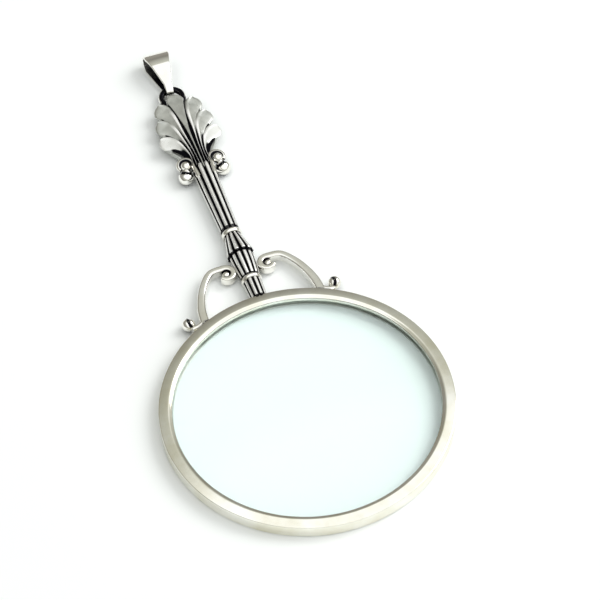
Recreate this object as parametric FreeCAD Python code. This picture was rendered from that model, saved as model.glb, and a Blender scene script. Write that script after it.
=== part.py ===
import FreeCAD, Part
import math
import os

from FreeCAD import Vector

# Silver pendant magnifying glass, in millimetres.
# The handle runs along +Y, the lens looks along +Z, and the back lies flat on z = 0.
# Everything is first built about the rim's centre and then moved so that the origin is
# the middle of the whole outline, on the plane that the glass lies on.

# ---- driving dimensions ----
rim_od = 42.0
rim_width = 1.95
rim_height = 2.34
rim_crown = 0.16
rim_back_round = 0.3

lens_seat = 0.55
lens_edge = 0.85
lens_rise = 1.6
lens_gap = 0.04
retainer_height = 0.45
retainer_inset = 0.1
retainer_width = 0.75

reed_count = 10
reed_share = 0.93
reed_bite = 1.5
baluster_reed_count = 12
ferrule_length = 3.25
ferrule_r = 1.42
lower_collar_length = 0.8
lower_collar_r = 1.58
lower_baluster_length = 4.4
lower_baluster_r = (1.46, 1.92)
upper_baluster_length = 3.95
upper_baluster_r = (2.2, 1.3)
upper_collar_length = 0.85
upper_collar_r = 1.58
shaft_length = 13.3
shaft_r = (1.42, 1.78)
core_pin_r = 0.55
core_pin_gap = 0.02
core_pin_recess = (0.4, 1.0)

bracket_width = 1.05
bracket_height = 1.4
bracket_foot_angle = 25.0
bracket_rise = 7.4
bracket_seat = 0.2
bracket_foot_bite = 0.3
bracket_tongue = 1.0
bracket_tongue_angle = 5.6
bracket_tongue_past = 1.2
# the strip's shoulder and haunch: how far in from its foot, and share of the way to its top
bracket_shoulder = (1.5, 0.7)
bracket_haunch = (0.3, 0.34)
bracket_crest_lead = 0.9
scroll_turn = 205.0
foot_bead_r = 1.0
foot_bead_seat = 0.92
foot_bead_place = 0.75
scroll_bead_r = 0.62
scroll_bead_lift = 0.1
scroll_bead_grip = 1.04

volute_wire_r = 0.45
volute_bend_r = 1.1
volute_stem = 3.0
volute_stem_lean = 0.12
volute_end_drop = 0.35
volute_seat = 0.45
volute_past_shaft = 0.75
eye_bead_r = 0.8
eye_bead_offset = (0.08, -0.3, 0.1)
drop_bead_r = 1.2
drop_bead_seat = 0.05
drop_bead_below = 0.8

leaf_length = 14.9
leaf_edge = 0.45
leaf_rise = 0.9
leaf_tip_rise = 0.4
leaf_root_step = 0.3
leaf_root_half = 0.28
lobe_crown_r = 3.6
# palmette lobes from the middle outwards: reach to the side, share of the leaf's length
# at the centre of the round tip (the middle one ends the leaf), tip radius, height share
lobe_reach = (0.0, 2.3, 3.05, 3.45)
lobe_place = (1.0, 0.815, 0.61, 0.4)
lobe_tip_r = (1.35, 1.5, 1.5, 1.4)
lobe_height = (1.0, 0.85, 0.7, 0.55)
lobe_bend = (0.22, 0.62)
lobe_start_overlap = 0.3
lobe_swell = 1.2
leaf_plate = 0.93
leaf_plate_margin = 0.6
leaf_plate_root = (1.2, 1.6)
leaf_plate_solder = 0.2

loop_od = 4.3
loop_wire_d = 0.95
loop_overhang = 2.6

bail_strap = 0.5
bail_gap = 0.2
bail_length = 8.5
bail_width = 3.9
bail_neck_width = 1.16
bail_far_r = 1.7

# ---- places that follow from them ----
rim_r = rim_od / 2
opening_r = rim_r - rim_width
lens_r = opening_r + lens_seat
axis_z = rim_height / 2
lens_back_z = retainer_inset + retainer_height
lens_ball_r = (lens_r ** 2 + lens_rise ** 2) / (2 * lens_rise)
lens_top_z = lens_back_z + lens_edge + lens_rise
lens_z_at_lip = lens_top_z - lens_ball_r + math.sqrt(lens_ball_r ** 2 - opening_r ** 2)
lip_z = lens_z_at_lip + lens_gap
ferrule_end = rim_r + ferrule_length
lower_collar_end = ferrule_end + lower_collar_length
girdle_y = lower_collar_end + lower_baluster_length
upper_baluster_end = girdle_y + upper_baluster_length
upper_collar_end = upper_baluster_end + upper_collar_length
shaft_end = upper_collar_end + shaft_length
leaf_tip_y = shaft_end + leaf_length
loop_r = (loop_od - loop_wire_d) / 2
bail_eye_r = loop_wire_d / 2 + bail_gap
bail_near_r = bail_eye_r + bail_strap
pivot_y = leaf_tip_y + loop_overhang - loop_wire_d / 2
pivot_z = bail_near_r
loop_y = pivot_y - loop_r
leaf_back_z = pivot_z + loop_wire_d / 2
bail_far_y = pivot_y - bail_near_r + bail_length
middle_y = (bail_far_y - rim_r) / 2
FAR = 200.0


def save(node, shape):
    """Move one finished piece into the object's frame and write it."""
    solids = shape.Solids
    if len(solids) != 1:
        raise RuntimeError("%s is %d solids" % (node, len(solids)))
    solid = solids[0].copy()
    solid.translate(Vector(0, -middle_y, 0))
    solid.exportStep("parts/%s.step" % node)


def tidy(shape):
    return shape.removeSplitter()


def above_table(shape):
    """Cut the back of a handle piece flat, level with the rim's back."""
    return shape.common(Part.makeBox(2 * FAR, 2 * FAR, FAR, Vector(-FAR, -FAR, 0)))


def mirrored(shape):
    return shape.mirror(Vector(0, 0, 0), Vector(1, 0, 0))


def both_sides(name, right):
    save(name + "_right", right)
    save(name + "_left", mirrored(right))


def revolved(points):
    """Turn a closed section, given as (radius, height) corners, about the lens axis."""
    wire = Part.makePolygon([Vector(r, 0, z) for r, z in points + points[:1]])
    return Part.Face(wire).revolve(Vector(0, 0, 0), Vector(0, 0, 1), 360)


def cone_between(start, end, r_start, r_end):
    """A round bar from one point to another, straight or tapered."""
    run = end - start
    if abs(r_start - r_end) < 1e-6:
        return Part.makeCylinder(r_start, run.Length, start, run)
    return Part.makeCone(r_start, r_end, run.Length, start, run)


def reed_bar(start, end, r_start, r_end, domed):
    """One reed: a tapered round bar, with a round end when domed."""
    if not domed:
        return cone_between(start, end, r_start, r_end)
    run = end - start
    length = run.Length
    tip = Part.Arc(
        Vector(r_end, 0, length),
        Vector(r_end * math.sqrt(0.5), 0, length + r_end * math.sqrt(0.5)),
        Vector(0, 0, length + r_end),
    ).toShape()
    side = Part.makePolygon([
        tip.Vertexes[1].Point,
        Vector(0, 0, 0),
        Vector(r_start, 0, 0),
        Vector(r_end, 0, length),
    ])
    bar = Part.Face(Part.Wire(side.Edges + [tip])).revolve(Vector(0, 0, 0), Vector(0, 0, 1), 360)
    bar.Placement = FreeCAD.Placement(start, FreeCAD.Rotation(Vector(0, 0, 1), run))
    return bar


def on_axis(y):
    return Vector(0, y, axis_z)


def pin_bore(y0, y1):
    return Part.makeCylinder(core_pin_r + core_pin_gap, y1 - y0, on_axis(y0), Vector(0, 1, 0))


# ---- rim, lens and the ring that keeps the lens in ----
def make_rim():
    bore_r = lens_r + lens_gap
    shoulder_z = rim_height - rim_crown
    crown = Part.Arc(
        Vector(rim_r, 0, shoulder_z),
        Vector((rim_r + opening_r) / 2, 0, rim_height),
        Vector(opening_r, 0, shoulder_z),
    ).toShape()
    corners = [
        (opening_r, shoulder_z),
        (opening_r, lip_z),
        (bore_r, lip_z),
        (bore_r, 0),
        (rim_r - rim_back_round, 0),
        (rim_r, rim_back_round),
        (rim_r, shoulder_z),
    ]
    sides = Part.makePolygon([Vector(r, 0, z) for r, z in corners])
    section = Part.Face(Part.Wire(Part.__sortEdges__(sides.Edges + [crown])))
    return section.revolve(Vector(0, 0, 0), Vector(0, 0, 1), 360)


def make_lens():
    disc = Part.makeCylinder(lens_r, lens_edge + lens_rise, Vector(0, 0, lens_back_z))
    ball = Part.makeSphere(lens_ball_r, Vector(0, 0, lens_top_z - lens_ball_r))
    return disc.common(ball)


def make_retainer():
    outer = lens_r + lens_gap
    inner = outer - retainer_width
    top = lens_back_z
    chamfer = retainer_width / 3
    return revolved([
        (outer, retainer_inset),
        (outer, top),
        (inner, top),
        (inner, top - chamfer),
        (inner + chamfer, retainer_inset),
    ])


# ---- handle sections ----
def reeded(y0, y1, r0, r1, count=reed_count, domed=False):
    """A tapered core with rounded reeds laid side by side round it, bored for the pin.

    r0 and r1 are the radii over the crests of the reeds at the two ends.
    """
    pitch = math.pi / count
    reeds = [r * pitch / (1 + pitch) * reed_share for r in (r0, r1)]
    core = [r0 - reed_bite * reeds[0], r1 - reed_bite * reeds[1]]
    body = cone_between(on_axis(y0), on_axis(y1), core[0], core[1])
    for i in range(count):
        turn = 2 * math.pi * (i + 0.5) / count
        side = Vector(math.sin(turn), 0, math.cos(turn))
        start = on_axis(y0) + side * (r0 - reeds[0])
        end = on_axis(y1) + side * (r1 - reeds[1])
        body = body.fuse(reed_bar(start, end, reeds[0], reeds[1], domed))
    wide = r0 + r1
    length = y1 - y0 + (2 * reeds[1] if domed else 0)
    slab = Part.makeBox(2 * wide, length, 4 * wide, Vector(-wide, y0, -wide))
    return above_table(body.common(slab)).cut(pin_bore(y0 - 1, y1 + 3))


def shaft_r_at(y):
    share = (y - upper_collar_end) / shaft_length
    return shaft_r[0] + share * (shaft_r[1] - shaft_r[0])


def ring_on_axis(y0, y1, r):
    """A collar with a rounded edge."""
    half = (y1 - y0) / 2
    disc = Part.makeCylinder(r, y1 - y0, on_axis(y0), Vector(0, 1, 0))
    disc = disc.makeFillet(0.8 * half, [e for e in disc.Edges if e.Curve.TypeId == "Part::GeomCircle"])
    return above_table(disc).cut(pin_bore(y0 - 1, y1 + 1))


def make_ferrule():
    blank = reeded(rim_r - 1.0, ferrule_end, ferrule_r, ferrule_r)
    return blank.cut(Part.makeCylinder(rim_r, FAR, Vector(0, 0, -1)))


def make_lower_baluster():
    r0, r1 = lower_baluster_r
    return reeded(lower_collar_end, girdle_y, r0, r1, baluster_reed_count, domed=True)


def make_upper_baluster(below):
    r0, r1 = upper_baluster_r
    return reeded(girdle_y, upper_baluster_end, r0, r1, baluster_reed_count).cut(below)


def make_core_pin():
    start = rim_r + core_pin_recess[0]
    end = shaft_end - core_pin_recess[1]
    return Part.makeCylinder(core_pin_r, end - start, on_axis(start), Vector(0, 1, 0))


def make_shaft():
    return reeded(upper_collar_end, shaft_end, shaft_r[0], shaft_r[1])


# ---- scroll brackets between the rim and the handle ----
def bracket_path():
    """Centre line of the right bracket, from the rim over the top and down to its scroll."""
    foot = math.radians(bracket_foot_angle)
    start = Vector(rim_r * math.sin(foot), (rim_r - bracket_foot_bite) * math.cos(foot), 0)
    top_y = rim_r + bracket_rise - bracket_width / 2
    scroll_r = scroll_bead_r + bracket_width / 2
    stem_r = (lower_baluster_r[0] + lower_baluster_r[1]) / 2
    scroll = Vector(stem_r + scroll_r + bracket_width / 2 - bracket_seat, top_y - scroll_r, 0)
    crest = scroll + Vector(bracket_crest_lead, scroll_r, 0)
    rise = top_y - start.y
    shoulder = Vector(start.x - bracket_shoulder[0], start.y + bracket_shoulder[1] * rise, 0)
    haunch = Vector(start.x - bracket_haunch[0], start.y + bracket_haunch[1] * rise, 0)
    spread = Part.BSplineCurve()
    spread.interpolate(
        [start, haunch, shoulder, crest],
        InitialTangent=Vector(0.05, 1, 0),
        FinalTangent=Vector(-1, 0, 0),
    )
    turn = math.radians(scroll_turn)
    half = math.radians(90) + turn / 2
    end = math.radians(90) + turn
    lead = Vector(scroll.x, scroll.y + scroll_r, 0)
    curl = Part.Arc(
        lead,
        scroll + Vector(math.cos(half), math.sin(half), 0) * scroll_r,
        scroll + Vector(math.cos(end), math.sin(end), 0) * scroll_r,
    )
    return Part.Wire([spread.toShape(), Part.makeLine(crest, lead), curl.toShape()]), scroll


def make_bracket():
    path, scroll = bracket_path()
    start = path.Edges[0].valueAt(path.Edges[0].FirstParameter)
    along = path.Edges[0].tangentAt(path.Edges[0].FirstParameter)
    across = Vector(along.y, -along.x, 0)
    low = Vector(0, 0, axis_z - bracket_height / 2)
    high = Vector(0, 0, axis_z + bracket_height / 2)
    half = across * (bracket_width / 2)
    profile = Part.makePolygon([
        start - half + low,
        start + half + low,
        start + half + high,
        start - half + high,
        start - half + low,
    ])
    sweep = Part.BRepOffsetAPI.MakePipeShell(path)
    sweep.setBiNormalMode(Vector(0, 0, 1))
    sweep.add(profile)
    sweep.build()
    sweep.makeSolid()
    strip = sweep.shape()
    tongue = Part.makeCylinder(
        rim_r + bracket_tongue, bracket_height, low, Vector(0, 0, 1), bracket_tongue_angle
    )
    turn = 90 - bracket_foot_angle - bracket_tongue_angle + bracket_tongue_past
    tongue.rotate(Vector(0, 0, 0), Vector(0, 0, 1), turn)
    return strip.fuse(tongue).cut(Part.makeCylinder(rim_r, FAR, Vector(0, 0, -1))), scroll


def make_foot_bead(bracket):
    at = math.radians(bracket_foot_angle + foot_bead_place * bracket_tongue_angle)
    r = rim_r + bracket_tongue + foot_bead_seat * foot_bead_r
    bead = Part.makeSphere(foot_bead_r, Vector(r * math.sin(at), r * math.cos(at), axis_z))
    return bead.cut(bracket)


def make_scroll_bead(bracket, scroll):
    centre = Vector(scroll.x, scroll.y, axis_z + scroll_bead_lift)
    return Part.makeSphere(scroll_bead_r * scroll_bead_grip, centre).cut(bracket)


# ---- curls and beads where the shaft becomes the leaf ----
def make_volute(shaft):
    centre = Vector(
        shaft_r[1] + volute_bend_r - volute_seat,
        shaft_end + volute_past_shaft,
        leaf_back_z + volute_wire_r,
    )
    foot = centre + Vector(-volute_bend_r - volute_stem_lean, -volute_stem, 0)
    rise = Part.makeLine(foot, centre + Vector(-volute_bend_r, 0, 0))
    hoop = Part.Arc(
        centre + Vector(-volute_bend_r, 0, 0),
        centre + Vector(0, volute_bend_r, 0),
        centre + Vector(volute_bend_r, -volute_end_drop, 0),
    ).toShape()
    path = Part.Wire([rise, hoop])
    start = path.Edges[0].valueAt(path.Edges[0].FirstParameter)
    ring = Part.Wire(Part.makeCircle(volute_wire_r, start, Vector(0, 1, 0)))
    sweep = Part.BRepOffsetAPI.MakePipeShell(path)
    sweep.add(ring)
    sweep.build()
    sweep.makeSolid()
    return sweep.shape().cut(shaft), centre


def make_eye_bead(centre, volute, shaft):
    bead = Part.makeSphere(eye_bead_r, centre + Vector(*eye_bead_offset))
    return bead.cut(volute).cut(shaft)


def make_drop_bead(others):
    y = shaft_end - drop_bead_below
    x = shaft_r_at(y) + drop_bead_r - drop_bead_seat
    bead = Part.makeSphere(drop_bead_r, Vector(x, y, max(drop_bead_r, axis_z)))
    for other in others:
        bead = bead.cut(other)
    return above_table(bead)


# ---- palmette leaf ----
def leaf_lobes():
    """Tip centre, tip radius and height share of the middle lobe and the three on the right."""
    lobes = []
    for reach, place, tip_r, share in zip(lobe_reach, lobe_place, lobe_tip_r, lobe_height):
        y = min(shaft_end + place * leaf_length, leaf_tip_y - tip_r)
        lobes.append((Vector(reach, y, 0), tip_r, share))
    return lobes


def lobe_line(tip, rank, t):
    """Point and direction on a lobe's centre line, t from 0 at the notch to 1 at the tip."""
    start = Vector(leaf_root_step * rank, shaft_end - lobe_start_overlap, 0)
    bend = Vector(lobe_bend[0] * tip.x, start.y + lobe_bend[1] * (tip.y - start.y), 0)
    point = start * (1 - t) ** 2 + bend * (2 * t * (1 - t)) + tip * t ** 2
    along = (bend - start) * (1 - t) + (tip - bend) * t
    return point, along.normalize()


def lobe_outline(rank, tip, tip_r):
    """Plan of one lobe: narrow at the root, swelling to a round tip."""
    left, right = [], []
    for t in (0.0, 0.5, 1.0):
        point, along = lobe_line(tip, rank, t)
        across = Vector(along.y, -along.x, 0)
        half = leaf_root_half + (tip_r - leaf_root_half) * t ** lobe_swell
        left.append(point - across * half)
        right.append(point + across * half)
    crown = tip + along * tip_r
    return Part.Wire([
        Part.Arc(*left).toShape(),
        Part.Arc(left[2], crown, right[2]).toShape(),
        Part.Arc(*reversed(right)).toShape(),
        Part.makeLine(right[0], left[0]),
    ])


def make_lobe(rank, tip, tip_r, share):
    """One lobe: its plan, raised from the leaf's back and crowned along its length."""
    low = Vector(0, 0, leaf_back_z)
    prism = Part.Face(lobe_outline(rank, tip, tip_r)).extrude(Vector(0, 0, 4 * leaf_rise))
    prism.translate(low)
    root = lobe_line(tip, rank, 0.0)[0] + low + Vector(0, 0, leaf_edge + leaf_rise * share)
    end = tip + low + Vector(0, 0, leaf_edge + leaf_tip_rise * share)
    slope = (end - root).normalize()
    drop = Vector(0, 0, lobe_crown_r)
    start = root - slope * lobe_crown_r - drop
    length = (end - root).Length + 3 * lobe_crown_r
    return prism.common(Part.makeCylinder(lobe_crown_r, length, start, slope))


def make_leaf():
    body = None
    for rank, (tip, tip_r, share) in enumerate(leaf_lobes()):
        lobe = make_lobe(rank, tip, tip_r, share)
        body = lobe if body is None else body.fuse(lobe)
        if rank:
            body = body.fuse(mirrored(lobe))
    return body


def make_leaf_plate(loop):
    """Flat plate behind the lobes, a little smaller than their outline, that meets the loop."""
    low = Vector(0, 0, leaf_back_z - leaf_plate)
    root_r, root_past = leaf_plate_root
    body = Part.makeCylinder(root_r, leaf_plate, Vector(0, shaft_end + root_past, 0) + low)
    for rank, (tip, tip_r, share) in enumerate(leaf_lobes()):
        r = tip_r - leaf_plate_margin
        if rank == 0:
            tip = Vector(0, loop_y - loop_od / 2 - r + leaf_plate_solder, 0)
        start = lobe_line(tip, rank, 0.3)[0]
        along = (tip - start).normalize()
        across = Vector(along.y, -along.x, 0)
        corners = [start - across * r, tip - across * r, tip + across * r, start + across * r]
        wire = Part.makePolygon([c + low for c in corners + corners[:1]])
        bar = Part.Face(wire).extrude(Vector(0, 0, leaf_plate))
        bar = bar.fuse(Part.makeCylinder(r, leaf_plate, tip + low))
        body = body.fuse(bar)
        if rank:
            body = body.fuse(mirrored(bar))
    return tidy(body).cut(loop)


# ---- hanging loop and bail ----
def make_loop():
    return Part.makeTorus(loop_r, loop_wire_d / 2, Vector(0, loop_y, pivot_z))


def teardrop(near_r, far_r):
    """Side outline round two circles, both drawn in the plane x = 0."""
    far = Vector(0, bail_far_y - bail_far_r, bail_far_r)
    near = Vector(0, pivot_y, pivot_z)
    run = far - near
    lean = math.atan2(run.z, run.y)
    spread = math.acos((near_r - far_r) / run.Length)

    def at(centre, r, angle):
        return centre + Vector(0, math.cos(angle), math.sin(angle)) * r

    up, down = lean + spread, lean - spread
    edges = [
        Part.Arc(at(near, near_r, up), at(near, near_r, lean + math.pi), at(near, near_r, down)).toShape(),
        Part.makeLine(at(near, near_r, down), at(far, far_r, down)),
        Part.Arc(at(far, far_r, down), at(far, far_r, lean), at(far, far_r, up)).toShape(),
        Part.makeLine(at(far, far_r, up), at(near, near_r, up)),
    ]
    return Part.Face(Part.Wire(edges))


def make_bail():
    """A strap folded round the loop, wide at the far fold and narrow at the loop."""
    half = bail_width / 2
    outer = teardrop(bail_near_r, bail_far_r)
    inner = teardrop(bail_eye_r, bail_far_r - bail_strap)
    strap = outer.cut(inner).extrude(Vector(bail_width, 0, 0))
    strap.translate(Vector(-half, 0, 0))
    neck = bail_neck_width / 2
    shoulder_y = pivot_y + loop_wire_d / 2
    wide_y = bail_far_y - bail_far_r
    near_y = pivot_y - bail_near_r
    plan = [
        Vector(-neck, near_y - 1, -1),
        Vector(neck, near_y - 1, -1),
        Vector(neck, shoulder_y, -1),
        Vector(half, wide_y, -1),
        Vector(half, bail_far_y + 1, -1),
        Vector(-half, bail_far_y + 1, -1),
        Vector(-half, wide_y, -1),
        Vector(-neck, shoulder_y, -1),
    ]
    outline = Part.Face(Part.makePolygon(plan + plan[:1]))
    return strap.common(outline.extrude(Vector(0, 0, 2 * bail_far_r + 2)))


def build():
    os.makedirs("parts", exist_ok=True)
    save("rim", make_rim())
    save("lens", make_lens())
    save("lens_retaining_ring", make_retainer())

    save("ferrule", make_ferrule())
    save("lower_collar", ring_on_axis(ferrule_end, lower_collar_end, lower_collar_r))
    lower = make_lower_baluster()
    save("lower_baluster", lower)
    save("upper_baluster", make_upper_baluster(lower))
    save("upper_collar", ring_on_axis(upper_baluster_end, upper_collar_end, upper_collar_r))
    shaft = make_shaft()
    save("shaft", shaft)
    save("core_pin", make_core_pin())

    bracket, scroll = make_bracket()
    bracket = bracket.cut(lower)
    both_sides("scroll_bracket", bracket)
    both_sides("bracket_foot_bead", make_foot_bead(bracket))
    both_sides("bracket_scroll_bead", make_scroll_bead(bracket, scroll).cut(lower))

    leaf = make_leaf().cut(shaft)
    volute, centre = make_volute(shaft)
    volute = volute.cut(leaf)
    eye = make_eye_bead(centre, volute, shaft).cut(leaf)
    drop = make_drop_bead([volute, eye, shaft, leaf])
    both_sides("volute", volute)
    both_sides("volute_eye_bead", eye)
    both_sides("volute_drop_bead", drop)
    save("palmette_leaf", leaf)

    loop = make_loop()
    plate = make_leaf_plate(loop)
    for other in (shaft, volute, mirrored(volute), eye, mirrored(eye), drop, mirrored(drop)):
        plate = plate.cut(other)
    save("leaf_back_plate", plate)
    save("hanging_loop", loop)
    save("bail", make_bail())


build()
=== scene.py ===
import functools
import logging
import math
from dataclasses import dataclass
from enum import Enum
from typing import Dict, List, Optional, Sequence, Tuple

import bmesh
import bpy
from mathutils import Matrix, Vector, noise


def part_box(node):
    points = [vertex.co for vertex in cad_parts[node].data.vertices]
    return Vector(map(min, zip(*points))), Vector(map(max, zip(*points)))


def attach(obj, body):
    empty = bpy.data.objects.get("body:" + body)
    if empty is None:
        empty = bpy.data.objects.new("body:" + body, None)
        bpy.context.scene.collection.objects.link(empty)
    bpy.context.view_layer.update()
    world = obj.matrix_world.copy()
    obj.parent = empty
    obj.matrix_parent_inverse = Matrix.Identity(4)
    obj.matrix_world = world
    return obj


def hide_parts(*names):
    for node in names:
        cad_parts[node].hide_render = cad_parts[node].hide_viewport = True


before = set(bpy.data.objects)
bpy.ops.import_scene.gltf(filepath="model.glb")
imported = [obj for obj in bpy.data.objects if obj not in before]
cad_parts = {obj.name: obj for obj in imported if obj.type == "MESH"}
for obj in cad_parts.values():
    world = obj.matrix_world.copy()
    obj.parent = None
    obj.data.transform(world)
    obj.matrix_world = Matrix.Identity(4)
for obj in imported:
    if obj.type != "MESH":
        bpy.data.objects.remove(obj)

LOG = logging.getLogger("magnifier")
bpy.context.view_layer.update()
MM = 0.001
FIXED_BODY = "magnifier"
SWINGING_BODY = "bail"
OXIDE_AND_LIGHT = "oxide_and_light"
UP = Vector((0, 0, 1))

Point = Tuple[float, float, float]
Colour = Tuple[float, float, float, float]
Outline = List[Tuple[float, float]]
Ring = List[Vector]
Shell = Tuple[List[Vector], List[List[int]]]


class Side(Enum):
    """The two sides of the handle, seen from above with the lens nearest."""

    LEFT = -1
    RIGHT = 1

    @property
    def word(self) -> str:
        """The side's name as it stands in node names."""
        return self.name.lower()

    def flip(self, point: Vector) -> Vector:
        """A point of the right side, put on this side."""
        return Vector((point.x * self.value, point.y, point.z))


class Slot(Enum):
    """The record's material slots."""

    POLISHED = "polished_silver"
    OXIDISED = "oxidised_silver"
    SATIN = "satin_silver"
    GLASS = "clear_glass"


@functools.lru_cache(maxsize=None)
def span(node: str) -> Tuple[Vector, Vector]:
    """Lowest and highest corner of a CAD node at rest, in metres."""
    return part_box(node)


def middle(node: str) -> Vector:
    """Middle of a CAD node's box at rest."""
    return (span(node)[0] + span(node)[1]) / 2


def half_size(node: str) -> Vector:
    """Half of the size of a CAD node's box at rest."""
    return (span(node)[1] - span(node)[0]) / 2


def axis_height() -> float:
    """Height of the handle's axis: the middle of the rim."""
    return span("rim")[1].z / 2


# ---------------------------------------------------------------- materials
def linear(hex_colour: str, alpha: float = 1.0) -> Colour:
    """Turn an sRGB hex colour into linear values.

    Args:
        hex_colour: six hex digits, with or without a leading #.
        alpha: the fourth value.

    Returns:
        Red, green, blue and alpha as linear numbers.
    """
    digits = hex_colour.lstrip("#")
    values = [int(digits[i : i + 2], 16) / 255 for i in (0, 2, 4)]
    out = [v / 12.92 if v <= 0.04045 else ((v + 0.055) / 1.055) ** 2.4 for v in values]
    return out[0], out[1], out[2], alpha


def add_node(
    tree: bpy.types.NodeTree,
    kind: str,
    links: Optional[Dict[str, bpy.types.NodeSocket]] = None,
    values: Optional[Dict[str, object]] = None,
    stops: Sequence[Tuple[float, str]] = (),
    **settings: object,
) -> bpy.types.Node:
    """Add one node with its settings, socket values and incoming links.

    Args:
        tree: the node tree that takes the node.
        kind: the node's Blender type.
        links: input socket name or number to the output socket that feeds it.
        values: input socket name or number to its constant value.
        stops: positions and hex colours of the node's colour ramp, from low to high.
        settings: properties of the node itself.

    Returns:
        The new node.
    """
    node = tree.nodes.new(kind)
    for name, value in settings.items():
        setattr(node, name, value)
    for rank, (position, colour) in enumerate(stops):
        band = node.color_ramp.elements
        stop = band[rank] if rank < len(band) else band.new(position)
        stop.position, stop.color = position, linear(colour)
    for name, value in (values or {}).items():
        node.inputs[int(name) if name.isdigit() else name].default_value = value
    for name, socket in (links or {}).items():
        tree.links.new(socket, node.inputs[int(name) if name.isdigit() else name])
    return node


def empty_material(name: str) -> bpy.types.Material:
    """Start a material with an empty node tree.

    Args:
        name: the material's name.

    Returns:
        The new material.
    """
    made = bpy.data.materials.new(name)
    made.use_nodes = True
    made.node_tree.nodes.clear()
    return made


@dataclass(frozen=True)
class SilverFinish:
    """Sterling silver, cast or rolled, then finished by hand.

    The metal is bright and slightly warm. The finish decides how sharp its reflections are, how
    much fine wear they show, how black the sulphide in the hollows and the painted shade are, and
    how white the painted highlights are.
    """

    name: str
    colour: str = "#FAF9F5"
    worn_colour: str = "#EFECE3"
    highlight_colour: str = "#FCFBF8"
    oxide_and_shade_colour: str = "#15151A"
    roughness: float = 0.1
    roughness_spread: float = 0.08
    scratch_mm: float = 0.12
    scratch_depth_mm: float = 0.004
    cloud_mm: float = 3.0
    grain_stretch: Point = (1.0, 1.0, 1.0)
    wear_contrast: Tuple[float, float] = (0.3, 0.7)
    oxide_and_shade_roughness: float = 0.45
    oxide_and_shade_spread: float = 1.35
    highlight_dullness: float = 0.8
    bump_strength: float = 0.35
    least_roughness: float = 0.02

    def material(self) -> bpy.types.Material:
        """Build the material.

        Returns:
            The material, with its oxide read from the mesh's own attribute.
        """
        made = empty_material(self.name)
        tree = made.node_tree
        place = add_node(tree, "ShaderNodeTexCoord").outputs["Object"]
        # Handling wear lies in soft clouds a few millimetres across.
        cloud = add_node(
            tree, "ShaderNodeTexNoise", {"Vector": place},
            {"Scale": 1 / (self.cloud_mm * MM), "Detail": 3.0, "Roughness": 0.55},
        ).outputs["Fac"]
        stretched = add_node(
            tree, "ShaderNodeMapping", {"Vector": place}, {"Scale": self.grain_stretch}
        ).outputs["Vector"]
        # Real polishing lines are finer than this. They are drawn as coarse as they show.
        grain = add_node(
            tree, "ShaderNodeTexNoise", {"Vector": stretched},
            {"Scale": 1 / (self.scratch_mm * MM), "Detail": 4.0, "Roughness": 0.6},
        ).outputs["Fac"]
        worn, clean = self.wear_contrast
        bright = add_node(
            tree, "ShaderNodeValToRGB", {"Fac": cloud},
            stops=((worn, self.worn_colour), (clean, self.colour)),
        ).outputs["Color"]
        tone = add_node(tree, "ShaderNodeAttribute", attribute_name=OXIDE_AND_LIGHT).outputs["Fac"]
        # Below zero the attribute marks painted highlights, drawn matt and white on raised edges.
        highlight_share = add_node(
            tree, "ShaderNodeMath", {"0": tone}, {"1": -1.0}, operation="MULTIPLY", use_clamp=True
        ).outputs[0]
        bright = add_node(
            tree, "ShaderNodeMix", {"0": highlight_share, "6": bright},
            {"7": linear(self.highlight_colour)}, data_type="RGBA",
        ).outputs[2]
        # Above zero it is sulphide in the hollows and painted shade on the polished parts, thick
        # where the attribute is highest and broken near its edges.
        black = add_node(
            tree, "ShaderNodeMath", {"0": tone}, {"1": 1.0}, operation="MULTIPLY", use_clamp=True
        ).outputs[0]
        edge = add_node(
            tree, "ShaderNodeMath", {"0": black}, {"1": self.oxide_and_shade_spread},
            operation="MULTIPLY", use_clamp=True,
        ).outputs[0]
        depth = add_node(
            tree, "ShaderNodeMath", {"0": edge, "1": grain, "2": black},
            operation="MULTIPLY_ADD", use_clamp=True,
        ).outputs[0]
        colour = add_node(
            tree, "ShaderNodeMix", {"0": depth, "6": bright}, {"7": linear(self.oxide_and_shade_colour)},
            data_type="RGBA",
        ).outputs[2]
        rough = add_node(
            tree, "ShaderNodeMapRange", {"Value": grain},
            {
                "From Min": worn,
                "From Max": clean,
                "To Min": max(self.least_roughness, self.roughness - self.roughness_spread),
                "To Max": self.roughness + self.roughness_spread,
            },
        ).outputs["Result"]
        dull = add_node(
            tree, "ShaderNodeMath", {"0": depth, "2": rough}, {"1": self.oxide_and_shade_roughness},
            operation="MULTIPLY_ADD", use_clamp=True,
        ).outputs[0]
        # The painted highlights lose most of their mirror, so they read as matt white.
        metallic = add_node(
            tree, "ShaderNodeMath", {"0": highlight_share}, {"1": -self.highlight_dullness, "2": 1.0},
            operation="MULTIPLY_ADD",
        ).outputs[0]
        bump = add_node(
            tree, "ShaderNodeBump", {"Height": grain},
            {"Strength": self.bump_strength, "Distance": self.scratch_depth_mm * MM},
        ).outputs["Normal"]
        metal = add_node(
            tree, "ShaderNodeBsdfPrincipled",
            {"Base Color": colour, "Roughness": dull, "Normal": bump, "Metallic": metallic},
        )
        add_node(tree, "ShaderNodeOutputMaterial", {"Surface": metal.outputs[0]})
        return made


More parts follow.
